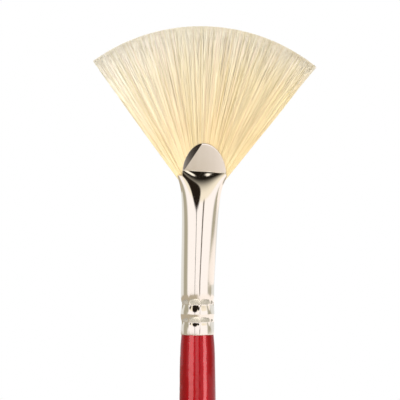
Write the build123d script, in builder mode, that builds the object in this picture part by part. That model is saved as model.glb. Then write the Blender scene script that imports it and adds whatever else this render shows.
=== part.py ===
"""Fan brush: a flat fan of hog bristles in a crimped nickel ferrule on a long lacquered handle.

The brush stands upright on its tail, with its fan at the top, spread in the XZ plane. The origin
is on the handle's axis, where the straight tail begins above its rounded end.
"""
import os
from math import cos, exp, radians, sin

from build123d import *

os.makedirs("parts", exist_ok=True)

# Handle: turned wood under a coat of red lacquer, its axis on Z, measured from the origin
handle_length = 250
tail_radius = 2.4
tail_length = 12
tail_round = 1.2
slim_radius = 2.2
slim_height = 38
belly_radius = 4.85
belly_height = 203
mouth_radius = 3.86
coat = 0.2
tenon_radius = 3.55
tenon_length = 12

# Ferrule: one piece of sheet metal, round at the handle and pressed flat at the crease
wall = 0.28
ferrule_radius = 4.02
straight_length = 12.0
transition_length = 27
section_count = 12
barrel_growth = 0.0185
flare = 2.3
flare_length = 2.9
pinch = 2.65
pinch_length = 3.8
head_lean = 2.2
crease_tilt = 3.6
tongue_gape = 0.3
tongue_half_width = 5.2
tongue_height = 6.7
tongue_offset = 0.6
tongue_lean = 2.3
shoulder_drop = 1.0

# Two rolled crimps that lock the ferrule to the tenon
crimp_roll = 0.9
upper_crimp_height = 7.2
upper_crimp_depth = 0.25
lower_crimp_height = 3.0
lower_crimp_depth = 0.1

# Bristles: a sector about a point below the crease
fan_radius = 44.3
fan_half_angle = 37.5
fan_lean = 1.5
fan_apex_drop = 9.35
fan_edge_half_thickness = 0.25
fan_neck_half_thickness = 0.85
fan_belly_half_thickness = 1.4
fan_belly_radius = 29
fan_tip_half_thickness = 0.9
flex_height = 7.9
flex_gap = 0.35

# What lies inside the ferrule, as depths below the crease
plug_depth = 14
binding_depth = 11.5
binding_length = 2.4
binding_thickness = 0.5

bend = Plane.XY.offset(handle_length + straight_length)
head_axis = Vector(sin(radians(head_lean)), 0, cos(radians(head_lean)))
crease_centre = bend.origin + head_axis * transition_length


def tilted_plane(origin, tilt):
    """A cross-section plane whose normal leans from +Z toward +X by the tilt in degrees."""
    normal = (sin(radians(tilt)), 0, cos(radians(tilt)))
    across = (cos(radians(tilt)), 0, -sin(radians(tilt)))
    return Plane(origin=origin, x_dir=across, z_dir=normal)


def front_plane(origin, tilt):
    """The plane of the fan seen from the front, its Y leaning toward +X by the tilt in degrees."""
    across = (cos(radians(tilt)), 0, -sin(radians(tilt)))
    return Plane(origin=origin, x_dir=across, z_dir=(0, -1, 0))


def neck_oval(depth, inset):
    """The ferrule's cross-section at a depth below the crease, inside its surface by the inset."""
    barrel = barrel_growth * (transition_length - depth)
    half_width = ferrule_radius + barrel + flare * exp(-depth / flare_length)
    half_thickness = ferrule_radius - barrel - pinch * exp(-depth / pinch_length)
    turned = head_lean + (crease_tilt - head_lean) * exp(-depth / flare_length)
    with BuildSketch(tilted_plane(crease_centre - head_axis * depth, turned)) as section:
        Ellipse(half_width - inset, half_thickness - inset)
    return section.sketch


def tongue_oval(height, inset):
    """The pressed-flat section above the crease, opening a little toward its end."""
    foot = ferrule_radius + barrel_growth * transition_length + flare
    pressed = ferrule_radius - barrel_growth * transition_length - pinch
    opened = tongue_gape * height / tongue_height
    with BuildSketch(tilted_plane(crease_centre, crease_tilt).offset(height)) as section:
        Ellipse(foot - inset, pressed + opened - inset)
    return section.sketch


def neck_sections(inset):
    """Every section from the round bend up to the crease, closer together where it turns fast."""
    with BuildSketch(bend) as first:
        Circle(ferrule_radius - inset)
    steps = [1 - i / section_count for i in range(1, section_count + 1)]
    return [first.sketch] + [neck_oval(transition_length * step**1.35, inset) for step in steps]


def crimp_roller(height, depth, growth):
    """Level and radii of the ring that presses one crimp, larger by the growth."""
    return handle_length + height, ferrule_radius + crimp_roll - depth, crimp_roll + growth


def handle_outline(inset):
    """Half profile of the turned handle, inside the finished surface by the inset."""
    foot = tail_radius - inset
    end = inset - tail_round
    with BuildSketch(Plane.XZ) as outline:
        with BuildLine():
            Line((0, end), (tail_radius - tail_round, end))
            RadiusArc((tail_radius - tail_round, end), (foot, 0), inset - tail_round)
            Line((foot, 0), (foot, tail_length))
            Spline(
                (foot, tail_length),
                (slim_radius - inset, slim_height),
                (belly_radius - inset, belly_height),
                tangents=((0, 1), (0, 1)),
            )
            Spline(
                (belly_radius - inset, belly_height),
                (0.5 * (belly_radius + mouth_radius) - inset, handle_length - 16),
                (mouth_radius + 0.36 - inset, handle_length - 6),
                (mouth_radius - inset, handle_length),
                tangents=((0, 1), (-0.12, 1)),
            )
            Line((mouth_radius - inset, handle_length), (0, handle_length))
            Line((0, handle_length), (0, end))
        make_face()
    return outline.sketch


# Hollow of the ferrule, open from the mouth to above the tongues
with BuildPart() as hollow:
    with BuildSketch(Plane.XY.offset(handle_length)):
        Circle(ferrule_radius - wall)
    extrude(amount=straight_length)
    for height, depth in ((upper_crimp_height, upper_crimp_depth), (lower_crimp_height, lower_crimp_depth)):
        level, ring, roll = crimp_roller(height, depth, wall)
        with Locations((0, 0, level)):
            Torus(ring, roll, mode=Mode.SUBTRACT)
    loft(sections=neck_sections(wall))
    loft(sections=[tongue_oval(0, wall), tongue_oval(0.5 * flex_height, wall), tongue_oval(flex_height, wall)])

# Sector of the bristles, thin at the ferrule, full in the middle and thinner at the tips
fan_front = front_plane(crease_centre, fan_lean)
fan_axis = Vector(sin(radians(fan_lean)), 0, cos(radians(fan_lean)))
fan_apex = crease_centre - fan_axis * fan_apex_drop
fan_side = tilted_plane(fan_apex, fan_lean + fan_half_angle)
inner_radius = fan_apex_drop - shoulder_drop
flex_radius = fan_apex_drop + flex_height
flex_plane = Plane(
    origin=crease_centre + fan_axis * flex_height,
    x_dir=(0, 1, 0),
    z_dir=fan_front.x_dir,
)
with BuildPart() as sector:
    with BuildSketch(Plane(origin=fan_apex, x_dir=fan_side.z_dir, z_dir=fan_side.x_dir)):
        with BuildLine():
            upper = Spline(
                (inner_radius, fan_edge_half_thickness),
                (flex_radius, fan_neck_half_thickness),
                (fan_belly_radius, fan_belly_half_thickness),
                (fan_radius, fan_tip_half_thickness),
            )
            lower = mirror(upper, about=Plane.XZ)
            Line(upper @ 0, lower @ 0)
            Line(upper @ 1, lower @ 1)
        make_face()
    revolve(axis=Axis(fan_apex, (0, -1, 0)), revolution_arc=2 * fan_half_angle)

# Handle core with the tenon that enters the ferrule
with BuildPart() as handle_core:
    add(handle_outline(coat))
    revolve(axis=Axis.Z)
    with BuildSketch(Plane.XY.offset(handle_length)):
        Circle(tenon_radius)
    extrude(amount=tenon_length)
    for height, depth in ((upper_crimp_height, upper_crimp_depth), (lower_crimp_height, lower_crimp_depth)):
        level, ring, roll = crimp_roller(height, depth, ferrule_radius - tenon_radius)
        with Locations((0, 0, level)):
            Torus(ring, roll, mode=Mode.SUBTRACT)
handle_core.part.label = "handle_core"
export_step(handle_core.part, "parts/handle_core.step")

# Lacquer coat over the whole turned surface and the tail end
with BuildPart() as handle_lacquer:
    add(handle_outline(0))
    revolve(axis=Axis.Z)
    add(handle_outline(coat))
    revolve(axis=Axis.Z, mode=Mode.SUBTRACT)
handle_lacquer.part.label = "handle_lacquer"
export_step(handle_lacquer.part, "parts/handle_lacquer.step")

# Film of glue between the tenon and the ferrule
with BuildPart() as tenon_glue:
    with BuildSketch(Plane.XY.offset(handle_length)):
        Circle(ferrule_radius)
    extrude(amount=tenon_length)
    add(hollow.part, mode=Mode.INTERSECT)
    add(handle_core.part, mode=Mode.SUBTRACT)
tenon_glue.part.label = "tenon_glue"
export_step(tenon_glue.part, "parts/tenon_glue.step")

# Ferrule: sheet around the hollow, with the sides above the shoulders cut open for the bristles
with BuildPart() as ferrule:
    with BuildSketch(Plane.XY.offset(handle_length)):
        Circle(ferrule_radius)
    extrude(amount=straight_length)
    for height, depth in ((upper_crimp_height, upper_crimp_depth), (lower_crimp_height, lower_crimp_depth)):
        level, ring, roll = crimp_roller(height, depth, 0)
        with Locations((0, 0, level)):
            Torus(ring, roll, mode=Mode.SUBTRACT)
    loft(sections=neck_sections(0))
    loft(sections=[tongue_oval(0, 0), tongue_oval(0.5 * flex_height, 0), tongue_oval(flex_height, 0)])
    add(hollow.part, mode=Mode.SUBTRACT)
    with BuildSketch(front_plane(crease_centre, 0)):
        with Locations((0, -shoulder_drop)):
            Rectangle(8 * tongue_half_width, 4 * tongue_height, align=(Align.CENTER, Align.MIN))
        with Locations((tongue_offset, -shoulder_drop)):
            Ellipse(
                tongue_half_width,
                tongue_height + shoulder_drop,
                rotation=tongue_lean,
                mode=Mode.SUBTRACT,
            )
    extrude(amount=2 * ferrule_radius, both=True, mode=Mode.SUBTRACT)
ferrule.part.label = "ferrule"
export_step(ferrule.part, "parts/ferrule.step")

# Resin plug that fills the ferrule between the tenon and the bristles
with BuildPart() as resin_plug:
    with BuildSketch(Plane.XY.offset(handle_length + tenon_length)):
        Circle(2 * ferrule_radius)
    extrude(amount=crease_centre.Z - plug_depth - handle_length - tenon_length)
    add(hollow.part, mode=Mode.INTERSECT)
resin_plug.part.label = "resin_plug"
export_step(resin_plug.part, "parts/resin_plug.step")

# Thread wound round the tied bristles, just above the plug
with BuildPart() as binding_thread:
    with BuildSketch(Plane.XY.offset(crease_centre.Z - binding_depth)):
        Circle(2 * ferrule_radius)
    extrude(amount=binding_length)
    add(hollow.part, mode=Mode.INTERSECT)
    add(
        loft(sections=neck_sections(wall + binding_thickness), mode=Mode.PRIVATE),
        mode=Mode.SUBTRACT,
    )
binding_thread.part.label = "binding_thread"
export_step(binding_thread.part, "parts/binding_thread.step")

# Clamped part of the bristles: from the plug to just above the tongues, hollowed for the flex
with BuildPart() as splayed_root:
    add(sector.part)
    with BuildSketch(flex_plane):
        Rectangle(4 * ferrule_radius, 2 * fan_radius, align=(Align.CENTER, Align.MIN))
        Circle(fan_neck_half_thickness + flex_gap)
    extrude(amount=fan_radius, both=True, mode=Mode.SUBTRACT)

with BuildPart() as bristle_root:
    with BuildSketch(Plane.XY.offset(crease_centre.Z - plug_depth)):
        Circle(4 * ferrule_radius)
    extrude(amount=plug_depth + tongue_height - flex_gap)
    add(hollow.part, mode=Mode.INTERSECT)
    add(splayed_root.part)
    add(ferrule.part, mode=Mode.SUBTRACT)
    add(binding_thread.part, mode=Mode.SUBTRACT)
bristle_root.part.label = "bristle_root"
export_step(bristle_root.part, "parts/bristle_root.step")

# Free part of the fan, with a rounded foot about the line where it flexes
with BuildPart() as bristle_fan:
    add(sector.part)
    with BuildSketch(flex_plane):
        Rectangle(4 * ferrule_radius, 2 * fan_radius, align=(Align.CENTER, Align.MAX))
        Circle(fan_neck_half_thickness, mode=Mode.SUBTRACT)
    extrude(amount=fan_radius, both=True, mode=Mode.SUBTRACT)
bristle_fan.part.label = "bristle_fan"
export_step(bristle_fan.part, "parts/bristle_fan.step")
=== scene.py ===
"""Fan brush on its tail in a studio: nickel ferrule, lacquered handle and a fan of hog bristles.

Shapes are worked out in millimetres in the row frame and turned into metres when a mesh is made.
"""
import math

import bmesh
import bpy
import numpy as np
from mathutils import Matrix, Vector


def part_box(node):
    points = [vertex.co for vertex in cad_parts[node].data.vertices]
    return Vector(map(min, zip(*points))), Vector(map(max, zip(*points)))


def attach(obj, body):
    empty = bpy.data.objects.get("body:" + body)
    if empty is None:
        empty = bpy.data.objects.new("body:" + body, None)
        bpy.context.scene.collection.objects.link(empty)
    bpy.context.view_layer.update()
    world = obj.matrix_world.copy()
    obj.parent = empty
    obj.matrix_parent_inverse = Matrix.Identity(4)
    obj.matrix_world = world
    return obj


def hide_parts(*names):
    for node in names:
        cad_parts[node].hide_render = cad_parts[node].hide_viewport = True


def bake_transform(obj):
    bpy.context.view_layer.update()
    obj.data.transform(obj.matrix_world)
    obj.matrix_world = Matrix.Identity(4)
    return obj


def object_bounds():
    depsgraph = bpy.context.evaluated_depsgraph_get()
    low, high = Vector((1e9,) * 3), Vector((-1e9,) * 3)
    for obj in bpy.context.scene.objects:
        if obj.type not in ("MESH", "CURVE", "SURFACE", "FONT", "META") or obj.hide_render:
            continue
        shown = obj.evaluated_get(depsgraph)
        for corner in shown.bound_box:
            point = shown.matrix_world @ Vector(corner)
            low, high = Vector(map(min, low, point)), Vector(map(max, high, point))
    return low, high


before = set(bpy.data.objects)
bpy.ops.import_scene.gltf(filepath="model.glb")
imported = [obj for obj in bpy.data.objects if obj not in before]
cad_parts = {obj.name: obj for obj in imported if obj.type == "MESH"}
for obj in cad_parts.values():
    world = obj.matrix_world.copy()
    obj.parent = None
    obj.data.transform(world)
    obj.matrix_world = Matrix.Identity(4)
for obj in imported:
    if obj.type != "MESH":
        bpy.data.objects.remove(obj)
cad_low, cad_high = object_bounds()

MM = 0.001
rng = np.random.default_rng(37)

# Ferrule, the same driving sizes as the CAD part, in millimetres
mouth_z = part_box("ferrule")[0][2] / MM
wall = 0.28
ferrule_radius = 4.02
straight_length = 12.0
transition_length = 27.0
bend_softness = 1.0
barrel_growth = 0.0185
flare, flare_length = 2.3, 2.9
pinch, pinch_length = 2.65, 3.8
head_lean = math.radians(2.2)
crease_tilt = math.radians(3.6)
tongue_gape = 0.3
tongue_half_width, tongue_height = 5.2, 6.7
tongue_offset = 0.6
tongue_lean = math.radians(2.3)
shoulder_drop = 1.0
crimp_count = 9
upper_crimp_height, lower_crimp_height = 7.2, 3.0
crimp_phase = math.radians(79)
fold_angle = math.radians(16)
fold_foot = (-4.2, 0.35)
fold_top = (0.05, 6.65)
tongue_flatness = 0.7

bend_z = mouth_z + straight_length
crease_x = math.sin(head_lean) * transition_length
crease_z = bend_z + math.cos(head_lean) * transition_length

# Bristles: a sector about a point below the crease
fan_radius = 44.3
fan_half_angle = math.radians(37.5)
fan_lean = math.radians(1.5)
fan_apex_drop = 9.35
fan_up = np.array([math.sin(fan_lean), 0.0, math.cos(fan_lean)])
fan_across = np.array([math.cos(fan_lean), 0.0, -math.sin(fan_lean)])
fan_apex = np.array([crease_x, 0.0, crease_z]) - fan_up * fan_apex_drop


# ---------------------------------------------------------------- small helpers

def linear(red, green, blue):
    """Screen colour, 0 to 255, as the linear colour a shader takes."""
    values = []
    for part in (red, green, blue):
        c = part / 255
        values.append(c / 12.92 if c <= 0.04045 else ((c + 0.055) / 1.055) ** 2.4)
    return (*values, 1.0)


def make_object(name, points, faces, smooth=True):
    """A mesh object from points in millimetres."""
    mesh = bpy.data.meshes.new(name)
    mesh.from_pydata((np.asarray(points) * MM).tolist(), [], faces)
    mesh.validate()
    mesh.polygons.foreach_set("use_smooth", [smooth] * len(mesh.polygons))
    mesh.update()
    obj = bpy.data.objects.new(name, mesh)
    bpy.context.scene.collection.objects.link(obj)
    return obj


class Shader:
    """A material's node tree, built a node at a time."""

    def __init__(self, name):
        self.material = bpy.data.materials.new(name)
        self.material.use_nodes = True
        self.tree = self.material.node_tree
        self.tree.nodes.clear()
        self.output = self.node("ShaderNodeOutputMaterial")
        self.surface = self.node("ShaderNodeBsdfPrincipled")
        self.tree.links.new(self.surface.outputs[0], self.output.inputs["Surface"])

    def node(self, kind, **settings):
        made = self.tree.nodes.new(kind)
        for key, value in settings.items():
            if key in made.inputs:
                made.inputs[key].default_value = value
            else:
                setattr(made, key, value)
        return made

    def link(self, source, target):
        self.tree.links.new(source, target)

    def set(self, **values):
        for key, value in values.items():
            self.surface.inputs[key.replace("_", " ")].default_value = value

    def coordinates(self):
        return self.node("ShaderNodeTexCoord").outputs["Object"]

    def stretched(self, scale):
        mapping = self.node("ShaderNodeMapping")
        mapping.inputs["Scale"].default_value = scale
        self.link(self.coordinates(), mapping.inputs["Vector"])
        return mapping.outputs[0]

    def noise(self, vector, scale, detail=4.0):
        made = self.node("ShaderNodeTexNoise")
        made.inputs["Scale"].default_value = scale
        made.inputs["Detail"].default_value = detail
        self.link(vector, made.inputs["Vector"])
        return made.outputs["Fac"]

    def ramp(self, factor, stops):
        made = self.node("ShaderNodeValToRGB")
        elements = made.color_ramp.elements
        while len(elements) < len(stops):
            elements.new(0.5)
        for element, (position, color) in zip(elements, stops):
            element.position = position
            element.color = color
        self.link(factor, made.inputs["Fac"])
        return made.outputs["Color"]

    def range(self, value, low, high):
        made = self.node("ShaderNodeMapRange")
        made.inputs["To Min"].default_value = low
        made.inputs["To Max"].default_value = high
        self.link(value, made.inputs["Value"])
        return made.outputs["Result"]

    def mix(self, factor, first, second, blend="MIX"):
        made = self.node("ShaderNodeMix", data_type="RGBA", blend_type=blend)
        for source, target in ((factor, made.inputs[0]), (first, made.inputs[6]), (second, made.inputs[7])):
            if isinstance(source, (float, tuple)):
                target.default_value = source
            else:
                self.link(source, target)
        return made.outputs[2]

    def bump(self, height, strength, distance):
        made = self.node("ShaderNodeBump")
        made.inputs["Strength"].default_value = strength
        made.inputs["Distance"].default_value = distance
        self.link(height, made.inputs["Height"])
        self.link(made.outputs[0], self.surface.inputs["Normal"])


# ---------------------------------------------------------------- materials

def nickel_material():
    """Polished nickel plate: warm, nearly mirror smooth, with faint handling marks."""
    m = Shader("nickel_polished")
    m.set(Metallic=1.0, Base_Color=linear(232, 224, 210))
    marks = m.noise(m.stretched((1.0, 1.0, 0.25)), 900.0, detail=3.0)
    m.link(m.range(marks, 0.045, 0.10), m.surface.inputs["Roughness"])
    m.bump(marks, 0.02, 0.0001)
    return m.material


def lacquer_material():
    """Deep red lacquer, dipped in several coats: dark colour under a clear gloss."""
    m = Shader("lacquer_red")
    clouds = m.noise(m.stretched((1.0, 1.0, 0.12)), 260.0)
    m.link(
        m.ramp(clouds, ((0.3, linear(132, 0, 5)), (0.7, linear(146, 0, 9)))),
        m.surface.inputs["Base Color"],
    )
    m.set(Metallic=0.22, Roughness=0.3, Specular_IOR_Level=0.0)
    m.set(Coat_Weight=0.45, Coat_Roughness=0.03, Coat_IOR=1.52)
    m.bump(m.noise(m.coordinates(), 420.0, detail=1.0), 0.03, 0.0002)
    return m.material


def bristle_material():
    """Bleached hog bristle: warm cream at the root, paler and greyer at the flagged tips. The paleness
    towards the tips is partly the bristles' own colour and partly painted light, standing in for light
    shining through the thin tips.
    """
    m = Shader("bristle_hog")
    tone = m.node("ShaderNodeAttribute", attribute_name="tone").outputs["Fac"]
    along = m.node("ShaderNodeAttribute", attribute_name="along").outputs["Fac"]
    spread = m.node("ShaderNodeAttribute", attribute_name="spread").outputs["Fac"]
    # Both ramps grow paler towards the tips: partly the bristles' own colour, partly painted light for the
    # light that shines through the thin tips.
    pale = m.ramp(
        along,
        (
            (0.0, linear(235, 221, 183)),
            (0.35, linear(242, 229, 198)),
            (0.72, linear(249, 244, 229)),
            (0.9, linear(249, 247, 240)),
            (0.96, linear(246, 245, 240)),
            (1.0, linear(226, 224, 216)),
        ),
    )
    warm = m.ramp(
        along,
        (
            (0.0, linear(229, 213, 171)),
            (0.35, linear(234, 217, 178)),
            (0.72, linear(240, 229, 196)),
            (0.9, linear(241, 234, 215)),
            (0.96, linear(240, 236, 224)),
            (1.0, linear(223, 217, 202)),
        ),
    )
    body = m.mix(m.range(spread, 0.0, 1.0), pale, warm)
    kinds = m.ramp(
        tone,
        (
            (0.0, linear(228, 217, 184)),
            (0.06, linear(243, 235, 208)),
            (0.2, linear(252, 248, 234)),
            (0.7, linear(255, 252, 244)),
            (0.85, linear(255, 240, 232)),
            (1.0, linear(255, 255, 250)),
        ),
    )
    m.link(m.mix(1.0, body, kinds, blend="MULTIPLY"), m.surface.inputs["Base Color"])
    m.set(Roughness=0.42, Specular_IOR_Level=0.4)
    return m.material


def plain_material(name, color, spread, scale, roughness):
    """A quiet uneven finish for what lies inside the ferrule and the handle."""
    m = Shader(name)
    grain = m.noise(m.stretched(scale), 300.0)
    dark = tuple(c * (1 - spread) for c in color[:3]) + (1.0,)
    m.link(m.ramp(grain, ((0.3, dark), (0.7, color))), m.surface.inputs["Base Color"])
    m.set(Roughness=roughness)
    m.bump(grain, 0.1, 0.0001)
    return m.material


# ---------------------------------------------------------------- ferrule

def smooth_ramp(distance, softness):
    """Zero below, the distance itself above, with a soft corner."""
    return softness * np.logaddexp(0.0, distance / softness)


def crimp_dent(depth, angle):
    """How far the rolled crimps press the wall in at a depth below the crease."""
    above_mouth = transition_length + straight_length - depth
    teeth = np.abs(np.sin(0.5 * crimp_count * (angle - crimp_phase)))
    bite = 1 - np.exp(-((teeth / 0.3) ** 2))

    def groove(height, reach_up, reach_down):
        """A rolled groove with a round bottom and long soft lips."""
        away = above_mouth - height
        away = np.where(away > 0, away / reach_up, -away / reach_down)
        return np.exp(-((away**2 + 0.04) ** 0.65))

    upper = groove(upper_crimp_height, 0.75, 0.95)
    lower = groove(lower_crimp_height, 0.55, 0.75)
    between = 0.5 * (upper_crimp_height + lower_crimp_height)
    bulge = np.exp(-(((above_mouth - between) / 0.9) ** 2))
    return (0.11 + 0.29 * bite) * upper + (0.05 + 0.21 * bite) * lower - 0.06 * bulge


def section(depth):
    """Centre, tilt and half sizes of the ferrule at a depth below the crease, negative above it."""
    above_bend = transition_length - np.maximum(depth, 0)
    climbed = smooth_ramp(above_bend, bend_softness)
    height = np.maximum(-depth, 0)
    below = np.maximum(depth, 0)
    tilt = head_lean / (1 + np.exp(-above_bend / bend_softness))
    tilt = tilt + (crease_tilt - head_lean) * np.exp(-below / flare_length)
    centre_x = math.sin(head_lean) * climbed + height * math.sin(crease_tilt)
    centre_z = bend_z + np.where(above_bend > 0, math.cos(head_lean), 1.0) * above_bend
    centre_z = centre_z + height * math.cos(crease_tilt)
    barrel = barrel_growth * np.maximum(above_bend, 0)
    half_width = ferrule_radius + barrel + flare * np.exp(-below / flare_length)
    half_thickness = ferrule_radius - barrel - pinch * np.exp(-below / pinch_length)
    half_thickness = half_thickness + tongue_gape * height / tongue_height
    return centre_x, centre_z, tilt, half_width, half_thickness


def ferrule_points(cosine, sine, depth, inset):
    """Points of the ferrule's surface, moved inward by the inset."""
    centre_x, centre_z, tilt, half_width, half_thickness = section(depth)
    dent = crimp_dent(depth, np.arctan2(sine, cosine))
    across = (half_width - inset - dent) * cosine
    flatter = tongue_flatness * (1 - np.exp(-np.maximum(-depth, 0) / 0.02))
    y = (half_thickness - inset - dent) * (sine + flatter * (np.sign(sine) - sine))
    x = centre_x + across * np.cos(tilt)
    z = centre_z - across * np.sin(tilt)
    return np.stack([x, y, z], axis=-1)


def fold_tongue(obj):
    """Bends the front tongue's upper left edge back along a straight sharp fold."""
    foot = Vector((crease_x + fold_foot[0], 0, crease_z + fold_foot[1])) * MM
    top = Vector((crease_x + fold_top[0], 0, crease_z + fold_top[1])) * MM
    run = (top - foot).normalized()
    outward = Vector((-run.z, 0, run.x))
    crease_up = Vector((math.sin(crease_tilt), 0, math.cos(crease_tilt)))
    crease = Vector((crease_x, 0, crease_z)) * MM
    mesh = bmesh.new()
    mesh.from_mesh(obj.data)

    def on_tongue(vert):
        return vert.co.y < 0 and (vert.co - crease).dot(crease_up) > 1e-6

    faces = [face for face in mesh.faces if all(on_tongue(vert) for vert in face.verts)]
    edges = {edge for face in faces for edge in face.edges}
    verts = {vert for face in faces for vert in face.verts}
    cut = bmesh.ops.bisect_plane(
        mesh, geom=[*verts, *edges, *faces], dist=1e-7, plane_co=foot, plane_no=outward
    )
    for piece in cut["geom_cut"]:
        if isinstance(piece, bmesh.types.BMEdge):
            piece.smooth = False
    for vert in mesh.verts:
        if on_tongue(vert):
            outside = (vert.co - foot).dot(outward)
            vert.co.y = min(vert.co.y + math.tan(fold_angle) * max(outside, 0), -0.05 * MM)
    mesh.to_mesh(obj.data)
    mesh.free()


def locate(u, v):
    """Depth below the crease and cosine round the section of a point of the front outline."""
    depth = -v
    for _ in range(20):
        centre_x, centre_z, tilt, half_width, _ = section(np.float64(depth))
        du, dv = u + crease_x - centre_x, v + crease_z - centre_z
        depth = depth - (du * math.sin(tilt) + dv * math.cos(tilt))
    across = du * math.cos(tilt) - dv * math.sin(tilt)
    return float(depth), float(np.clip(across / half_width, -1, 1))


def ferrule_columns():
    """(cosine, sine, depth of the top edge, outward direction of the edge) for each column."""
    base = math.atan(-tongue_half_width / (tongue_height + shoulder_drop) * math.tan(tongue_lean))
    arch = []
    for turn in np.linspace(base, math.pi + base, 73):
        ex = tongue_half_width * math.cos(turn)
        ez = (tongue_height + shoulder_drop) * math.sin(turn)
        u = tongue_offset + ex * math.cos(tongue_lean) - ez * math.sin(tongue_lean)
        v = -shoulder_drop + ex * math.sin(tongue_lean) + ez * math.cos(tongue_lean)
        nx = math.cos(turn) / tongue_half_width
        nz = math.sin(turn) / (tongue_height + shoulder_drop)
        out = Vector((
            nx * math.cos(tongue_lean) - nz * math.sin(tongue_lean),
            0.0,
            nx * math.sin(tongue_lean) + nz * math.cos(tongue_lean),
        )).normalized()
        depth, cosine = locate(u, v)
        arch.append((cosine, depth, np.array(out)))

    def shoulder(start, stop, count):
        """Columns between the foot of the tongue and the side of the ferrule."""
        made = []
        for angle in np.linspace(start, stop, count):
            depth = shoulder_drop
            for _ in range(8):
                _, _, tilt, half_width, _ = section(np.float64(depth))
                drop = shoulder_drop - half_width * math.cos(angle) * math.sin(tilt)
                depth = drop / math.cos(head_lean)
            made.append((math.cos(angle), depth, np.array([0.0, 0.0, 1.0])))
        return made

    right = shoulder(0.0, math.acos(arch[0][0]), 14)[:-1]
    left = shoulder(math.acos(arch[-1][0]), math.pi, 20)[1:]
    half = right + arch + left
    columns = [(c, -math.sqrt(max(0.0, 1 - c * c)), d, out) for c, d, out in half]
    columns += [(c, math.sqrt(max(0.0, 1 - c * c)), d, out) for c, d, out in reversed(half[1:-1])]
    return columns


def build_ferrule():
    """The ferrule as a closed sheet with rounded edges: outer skin, rim, inner skin, mouth."""
    columns = ferrule_columns()
    cosine = np.array([c[0] for c in columns])
    sine = np.array([c[1] for c in columns])
    top_depth = np.array([c[2] for c in columns])
    outward = np.array([c[3] for c in columns])
    deepest = transition_length + straight_length
    shelf = 1.9
    shared = np.concatenate([
        np.linspace(deepest, transition_length, 90),
        np.linspace(transition_length, 8.0, 48)[1:],
        np.linspace(8.0, shelf, 30)[1:],
    ])
    crease_row = np.maximum(top_depth, 0.0)
    rows = [np.full_like(cosine, depth) for depth in shared]
    rows += [shelf + (crease_row - shelf) * step for step in np.linspace(0, 1, 14)[1:]]
    rows += [crease_row + np.minimum(top_depth, 0.0) * step for step in (0.01, *np.linspace(0.04, 1, 26))]

    def skin(inset):
        return [ferrule_points(cosine, sine, row, inset) for row in rows]

    outer, inner = skin(0.0), skin(wall)
    rim = []
    for turn in np.linspace(0, math.pi, 11)[1:-1]:
        middle = 0.5 * (outer[-1] + inner[-1])
        reach = 0.5 * (outer[-1] - inner[-1])
        rim.append(middle + reach * math.cos(turn) + outward * 0.5 * wall * math.sin(turn))
    mouth = []
    for turn in np.linspace(0, math.pi, 9)[1:-1]:
        middle = 0.5 * (outer[0] + inner[0])
        reach = 0.5 * (inner[0] - outer[0])
        mouth.append(middle + reach * math.cos(turn) + np.array([0, 0, 0.3 * wall]) * -math.sin(turn))
    loops = outer + rim + inner[::-1] + mouth
    points = np.concatenate(loops)
    count = len(cosine)
    faces = []
    for i in range(len(loops)):
        low, high = i * count, (i + 1) % len(loops) * count
        for j in range(count):
            k = (j + 1) % count
            faces.append((low + j, high + j, high + k, low + k))
    obj = make_object("ferrule_shell", points, faces)
    weld(obj, 1e-7)
    obj.data.set_sharp_from_angle(angle=math.radians(28))
    fold_tongue(obj)
    return obj


def weld(obj, distance):
    """Merges doubled points and makes every face look outward."""
    mesh = bmesh.new()
    mesh.from_mesh(obj.data)
    bmesh.ops.remove_doubles(mesh, verts=mesh.verts, dist=distance)
    bmesh.ops.dissolve_degenerate(mesh, edges=mesh.edges, dist=distance)
    bmesh.ops.recalc_face_normals(mesh, faces=mesh.faces)
    mesh.to_mesh(obj.data)
    mesh.free()


# ---------------------------------------------------------------- bristles

bristle_count = 4400
bristle_steps = 9
bristle_sides = 4


def fan_half_thickness(radius):
    """Half thickness of the fan along its bristles."""
    knots = (0.0, 9.0, 13.0, 17.0, 29.0, 40.0, 45.0)
    values = (0.30, 0.34, 0.50, 0.85, 1.15, 0.95, 0.80)
    return np.interp(radius, knots, values)


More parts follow.
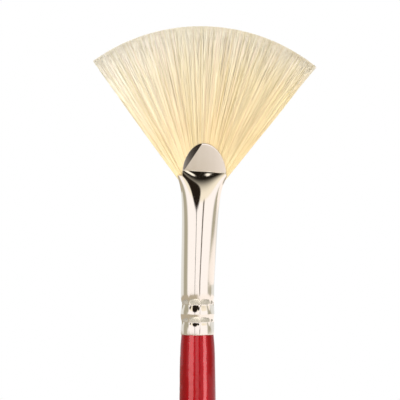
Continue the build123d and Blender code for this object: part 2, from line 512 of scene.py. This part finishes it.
def bristle_paths():
    """Centre line of every bristle, one row of points each, and its size and tone."""
    n = bristle_count
    spread = (np.arange(n) + rng.random(n)) / n
    rng.shuffle(spread)
    base_angle = (2 * spread - 1) * (fan_half_angle - math.radians(0.4))
    layer = rng.uniform(-1, 1, n)
    clumps = np.sort(rng.uniform(-1, 1, 150)) * fan_half_angle
    nearest = clumps[np.abs(base_angle[:, None] - clumps[None, :]).argmin(axis=1)]
    pull = 0.14 * rng.random(n)
    tip_angle = base_angle + (nearest - base_angle) * pull + rng.normal(0, math.radians(0.25), n)
    tip_angle = np.clip(tip_angle, -fan_half_angle, fan_half_angle)
    short = np.where(rng.random(n) < 0.12, rng.uniform(0.5, 4, n), 0)
    length = fan_radius - np.abs(rng.normal(0, 0.09, n)) - short
    start = 7.2 + 0.3 * rng.random(n)
    along = np.linspace(0, 1, bristle_steps)
    along = along - 0.06 * np.sin(2 * math.pi * along)
    radius = start[:, None] + (length - start)[:, None] * along[None, :]
    sway = rng.normal(0, math.radians(0.28), n)[:, None] * np.sin(math.pi * along)[None, :]
    sway = sway + rng.normal(0, math.radians(0.13), n)[:, None] * np.sin(2.4 * math.pi * along)[None, :]
    angle = base_angle[:, None] + (tip_angle - base_angle)[:, None] * along[None, :] ** 1.5 + sway
    angle = np.clip(angle, -fan_half_angle, fan_half_angle)
    rim = 1 - 0.45 * np.abs(base_angle / fan_half_angle) ** 3
    depth = layer[:, None] * fan_half_thickness(radius) * rim[:, None]
    depth = depth + rng.normal(0, 0.07, n)[:, None] * along[None, :] ** 2
    points = (
        fan_apex
        + radius[..., None] * np.sin(angle)[..., None] * fan_across
        + radius[..., None] * np.cos(angle)[..., None] * fan_up
    )
    points[..., 1] += depth
    thickness = rng.uniform(0.048, 0.066, n)
    taper = np.interp(along, (0, 0.5, 0.85, 1.0), (1.0, 1.0, 0.85, 0.55))
    tone = rng.random(n)
    return points, thickness[:, None] * taper[None, :], along, tone, spread


def build_bristles(pieces):
    """The bristles as tapered tubes, shared out among the pieces."""
    points, sizes, along, tone, spread = bristle_paths()
    forward = np.gradient(points, axis=1)
    forward /= np.linalg.norm(forward, axis=2, keepdims=True)
    side = np.cross(forward, np.array([0.0, 1.0, 0.0]))
    side /= np.linalg.norm(side, axis=2, keepdims=True)
    up = np.cross(side, forward)
    turns = np.arange(bristle_sides) * 2 * math.pi / bristle_sides + 0.4
    ring = (
        side[:, :, None, :] * np.cos(turns)[None, None, :, None]
        + up[:, :, None, :] * np.sin(turns)[None, None, :, None]
    )
    tubes = points[:, :, None, :] + ring * sizes[:, :, None, None]
    made = []
    per_bristle = bristle_steps * bristle_sides
    for index in range(pieces):
        chosen = tubes[index::pieces]
        vertices = chosen.reshape(-1, 3)
        faces = []
        for b in range(len(chosen)):
            first = b * per_bristle
            for i in range(bristle_steps - 1):
                low, high = first + i * bristle_sides, first + (i + 1) * bristle_sides
                for j in range(bristle_sides):
                    k = (j + 1) % bristle_sides
                    faces.append((low + j, low + k, high + k, high + j))
            faces.append(tuple(first + j for j in reversed(range(bristle_sides))))
            faces.append(tuple(first + per_bristle - bristle_sides + j for j in range(bristle_sides)))
        obj = make_object(f"bristles_{index + 1}", vertices, faces)
        tones = np.repeat(tone[index::pieces], per_bristle).astype(np.float32)
        steps = np.tile(np.repeat(along, bristle_sides), len(chosen)).astype(np.float32)
        places = np.repeat(spread[index::pieces], per_bristle).astype(np.float32)
        for name, values in (("tone", tones), ("along", steps), ("spread", places)):
            obj.data.attributes.new(name, "FLOAT", "POINT").data.foreach_set("value", values)
        lay_out_bristles(obj.data, per_bristle, along)
        made.append(obj)
    return made


def lay_out_bristles(mesh, per_bristle, along):
    """Flat layout with a small cell for each bristle: round it one way, along it the other."""
    count = len(mesh.vertices) // per_bristle
    cells = math.ceil(math.sqrt(count))
    corners = np.empty(len(mesh.loops), dtype=np.int64)
    mesh.loops.foreach_get("vertex_index", corners)
    starts = np.empty(len(mesh.polygons), dtype=np.int64)
    totals = np.empty(len(mesh.polygons), dtype=np.int64)
    mesh.polygons.foreach_get("loop_start", starts)
    mesh.polygons.foreach_get("loop_total", totals)
    bristle, within = np.divmod(corners, per_bristle)
    step, side = np.divmod(within, bristle_sides)
    first = np.repeat(side[starts], totals)
    wrapped = side < first
    u = (side + bristle_sides * wrapped) / bristle_sides
    v = along[step]
    row, column = np.divmod(bristle, cells)
    layout = np.stack([column + 0.15 + 0.7 * u, row + 0.15 + 0.7 * v], axis=1) / cells
    layer = mesh.uv_layers.new(name="OFBake")
    layer.data.foreach_set("uv", layout.astype(np.float32).ravel())


# ---------------------------------------------------------------- studio

def studio_world():
    """Studio: bright front with two thin gaps, dim sides, a grey table and, in front, a dark ceiling."""
    world = bpy.data.worlds.new("studio")
    bpy.context.scene.world = world
    world.use_nodes = True
    tree = world.node_tree
    tree.nodes.clear()
    add = tree.nodes.new
    link = tree.links.new

    def math_node(operation, *values):
        made = add("ShaderNodeMath")
        made.operation = operation
        for socket, value in zip(made.inputs, values):
            if isinstance(value, (int, float)):
                socket.default_value = value
            else:
                link(value, socket)
        return made.outputs[0]

    def step(value, low, high, out_low, out_high):
        made = add("ShaderNodeMapRange")
        made.interpolation_type = "SMOOTHSTEP"
        ends = (("From Min", low), ("From Max", high), ("To Min", out_low), ("To Max", out_high))
        for key, number in ends:
            made.inputs[key].default_value = number
        link(value, made.inputs["Value"])
        return made.outputs["Result"]

    def blend_colors(factor, first, second):
        """One colour giving way to another."""
        made = add("ShaderNodeMix")
        made.data_type = "RGBA"
        link(factor, made.inputs[0])
        for source, target in ((first, made.inputs[6]), (second, made.inputs[7])):
            if isinstance(source, tuple):
                target.default_value = (*source, 1.0)
            else:
                link(source, target)
        return made.outputs[2]

    def between(value, low, high, soft):
        """One inside a band, zero outside, with soft edges."""
        rise = step(value, low - soft, low + soft, 0.0, 1.0)
        return math_node("MULTIPLY", rise, step(value, high - soft, high + soft, 1.0, 0.0))

    def oval(place, reach, soft):
        """One inside an oval patch of the studio, zero outside."""
        across = math_node("DIVIDE", math_node("SUBTRACT", azimuth, place[0]), reach[0])
        up = math_node("DIVIDE", math_node("SUBTRACT", elevation, place[1]), reach[1])
        away = math_node("ADD", math_node("MULTIPLY", across, across), math_node("MULTIPLY", up, up))
        return step(away, 1 - soft, 1 + soft, 1.0, 0.0)

    direction = add("ShaderNodeSeparateXYZ")
    link(add("ShaderNodeTexCoord").outputs["Generated"], direction.inputs[0])
    x, y, z = direction.outputs
    to_degrees = 180 / math.pi
    azimuth = math_node("MULTIPLY", math_node("ARCTAN2", x, math_node("MULTIPLY", y, -1.0)), to_degrees)
    elevation = math_node("MULTIPLY", math_node("ARCSINE", z), to_degrees)

    # Round the brush: pale back wall, dim gaps at the sides, bright boxes and a card in front
    around = blend_colors(between(azimuth, -78, 78, 12), (0.92, 0.94, 0.97), (1.25, 1.22, 1.3))
    for side in (-93, 93):
        around = blend_colors(between(azimuth, side - 18, side + 18, 8), around, (0.5, 0.48, 0.4))
    around = blend_colors(between(azimuth, -20, -17, 1), around, (0.2, 0.19, 0.18))
    around = blend_colors(between(azimuth, 12, 18, 2), around, (0.1, 0.08, 0.06))

    # Below: a warm grey table, paler to the right
    table = blend_colors(step(azimuth, -10, 16, 0.0, 1.0), (0.56, 0.5, 0.41), (1.25, 1.18, 1.2))
    around = blend_colors(step(elevation, -3.6, -3.0, 1.0, 0.0), around, table)

    # Above, in front: the wall falls off to a dark ceiling, with one dark opening to the left
    fall = step(elevation, 18, 50, 1.0, 0.0)
    wall = blend_colors(fall, (0.015, 0.012, 0.009), (1.15, 1.08, 0.96))
    in_front = between(azimuth, -70, 70, 10)
    above = math_node("MULTIPLY", in_front, step(elevation, 12, 16, 0.0, 1.0))
    around = blend_colors(above, around, wall)
    opening = oval((-19, 24), (19, 15), 0.25)
    around = blend_colors(opening, around, (0.02, 0.014, 0.01))

    # Two round ceiling lamps
    for place, reach in (((15, 61), (3, 5)), ((-11, 57), (5, 5))):
        around = blend_colors(oval(place, reach, 0.3), around, (1.4, 1.35, 1.3))

    studio = add("ShaderNodeBackground")
    link(around, studio.inputs["Color"])
    backdrop = add("ShaderNodeBackground")
    backdrop.inputs["Color"].default_value = (1, 1, 1, 1)
    choose = add("ShaderNodeMixShader")
    link(add("ShaderNodeLightPath").outputs["Is Camera Ray"], choose.inputs[0])
    link(studio.outputs[0], choose.inputs[1])
    link(backdrop.outputs[0], choose.inputs[2])
    link(choose.outputs[0], add("ShaderNodeOutputWorld").inputs["Surface"])


def add_lamp(name, place, aim, size, power):
    """A soft area light that fills without showing in a reflection."""
    data = bpy.data.lights.new(name, "AREA")
    data.shape = "RECTANGLE"
    data.size, data.size_y = size
    data.energy = power
    lamp = bpy.data.objects.new(name, data)
    bpy.context.scene.collection.objects.link(lamp)
    lamp.location = place
    lamp.rotation_euler = (Vector(aim) - Vector(place)).to_track_quat("-Z", "Y").to_euler()
    lamp.visible_glossy = False
    lamp.visible_camera = False
    return lamp


def add_handle_lamp(name, bearing, width, power):
    """A tall softbox that shows in the handle's lacquer and lights nothing else."""
    turn = math.radians(bearing)
    place = (1.1 * math.sin(turn), -1.1 * math.cos(turn), 0.2)
    lamp = add_lamp(name, place, (0, 0, 0.2), (width, 1.6), power)
    lamp.visible_glossy = True
    lamp.visible_diffuse = False
    lamp.light_linking.receiver_collection = handle_only


def build_floor(level):
    """A pale round table top under the tail."""
    rings = (0.0, 0.3, 0.9, 1.2)
    count = 96
    points, faces = [(0.0, 0.0, level)], []
    for radius in rings[1:]:
        for i in range(count):
            turn = 2 * math.pi * i / count
            points.append((radius * math.cos(turn), radius * math.sin(turn), level))
    for i in range(count):
        k = (i + 1) % count
        faces.append((0, 1 + i, 1 + k))
        for ring in range(len(rings) - 2):
            low, high = 1 + ring * count, 1 + (ring + 1) * count
            faces.append((low + i, high + i, high + k, low + k))
    floor = make_object("floor", np.array(points) / MM, faces)
    m = Shader("floor_pale")
    m.link(
        m.ramp(m.noise(m.coordinates(), 2.0), ((0.3, linear(192, 190, 185)), (0.7, linear(198, 197, 193)))),
        m.surface.inputs["Base Color"],
    )
    m.set(Roughness=0.8)
    floor.data.materials.append(m.material)


def build_camera():
    """A long lens straight at the front, level with the neck of the ferrule."""
    data = bpy.data.cameras.new("camera")
    data.lens = 200.0
    data.sensor_width = 36.0
    camera = bpy.data.objects.new("camera", data)
    bpy.context.scene.collection.objects.link(camera)
    frame_width = 0.096
    distance = frame_width * data.lens / data.sensor_width
    camera.location = (0.6 * MM, -distance, (mouth_z + 32.2) * MM)
    camera.rotation_euler = (math.radians(90), 0, 0)
    bpy.context.scene.camera = camera


# ---------------------------------------------------------------- the brush

nickel = nickel_material()
lacquer = lacquer_material()
bristle = bristle_material()

ferrule = build_ferrule()
ferrule.data.materials.append(nickel)
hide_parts("ferrule")
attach(ferrule, "brush")

for piece in build_bristles(2):
    piece.data.materials.append(bristle)
    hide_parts("bristle_root", "bristle_fan")
    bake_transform(piece)

inside = {
    "handle_core": plain_material("wood_core", linear(214, 178, 128), 0.35, (8.0, 8.0, 0.4), 0.6),
    "tenon_glue": plain_material("glue_film", linear(205, 180, 120), 0.2, (1.0, 1.0, 1.0), 0.4),
    "resin_plug": plain_material("resin", linear(160, 110, 50), 0.3, (1.0, 1.0, 1.0), 0.3),
    "binding_thread": plain_material("thread", linear(232, 226, 208), 0.3, (1.0, 1.0, 12.0), 0.8),
    "handle_lacquer": lacquer,
}
for node, material in inside.items():
    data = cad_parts[node].data
    data.materials.clear()
    data.materials.append(material)

# ---------------------------------------------------------------- light, floor, camera

studio_world()
handle_only = bpy.data.collections.new("handle_only")
handle_only.objects.link(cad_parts["handle_lacquer"])
add_lamp("front", (-0.15, -1.2, 0.40), (0, 0, 0.30), (0.8, 0.8), 8.6)
add_lamp("fill", (0.5, -1.0, 0.35), (0, 0, 0.28), (0.5, 0.5), 3.0)
add_lamp("top", (0, 0.2, 1.3), (0, 0, 0), (1.1, 1.1), 10.5)
add_handle_lamp("handle_left", -43, 0.66, 16.0)
add_handle_lamp("handle_middle", -3, 0.38, 3.2)
add_handle_lamp("handle_right", 50, 0.42, 15.0)
build_floor(cad_low[2])
build_camera()
bpy.context.scene.view_settings.view_transform = "Standard"
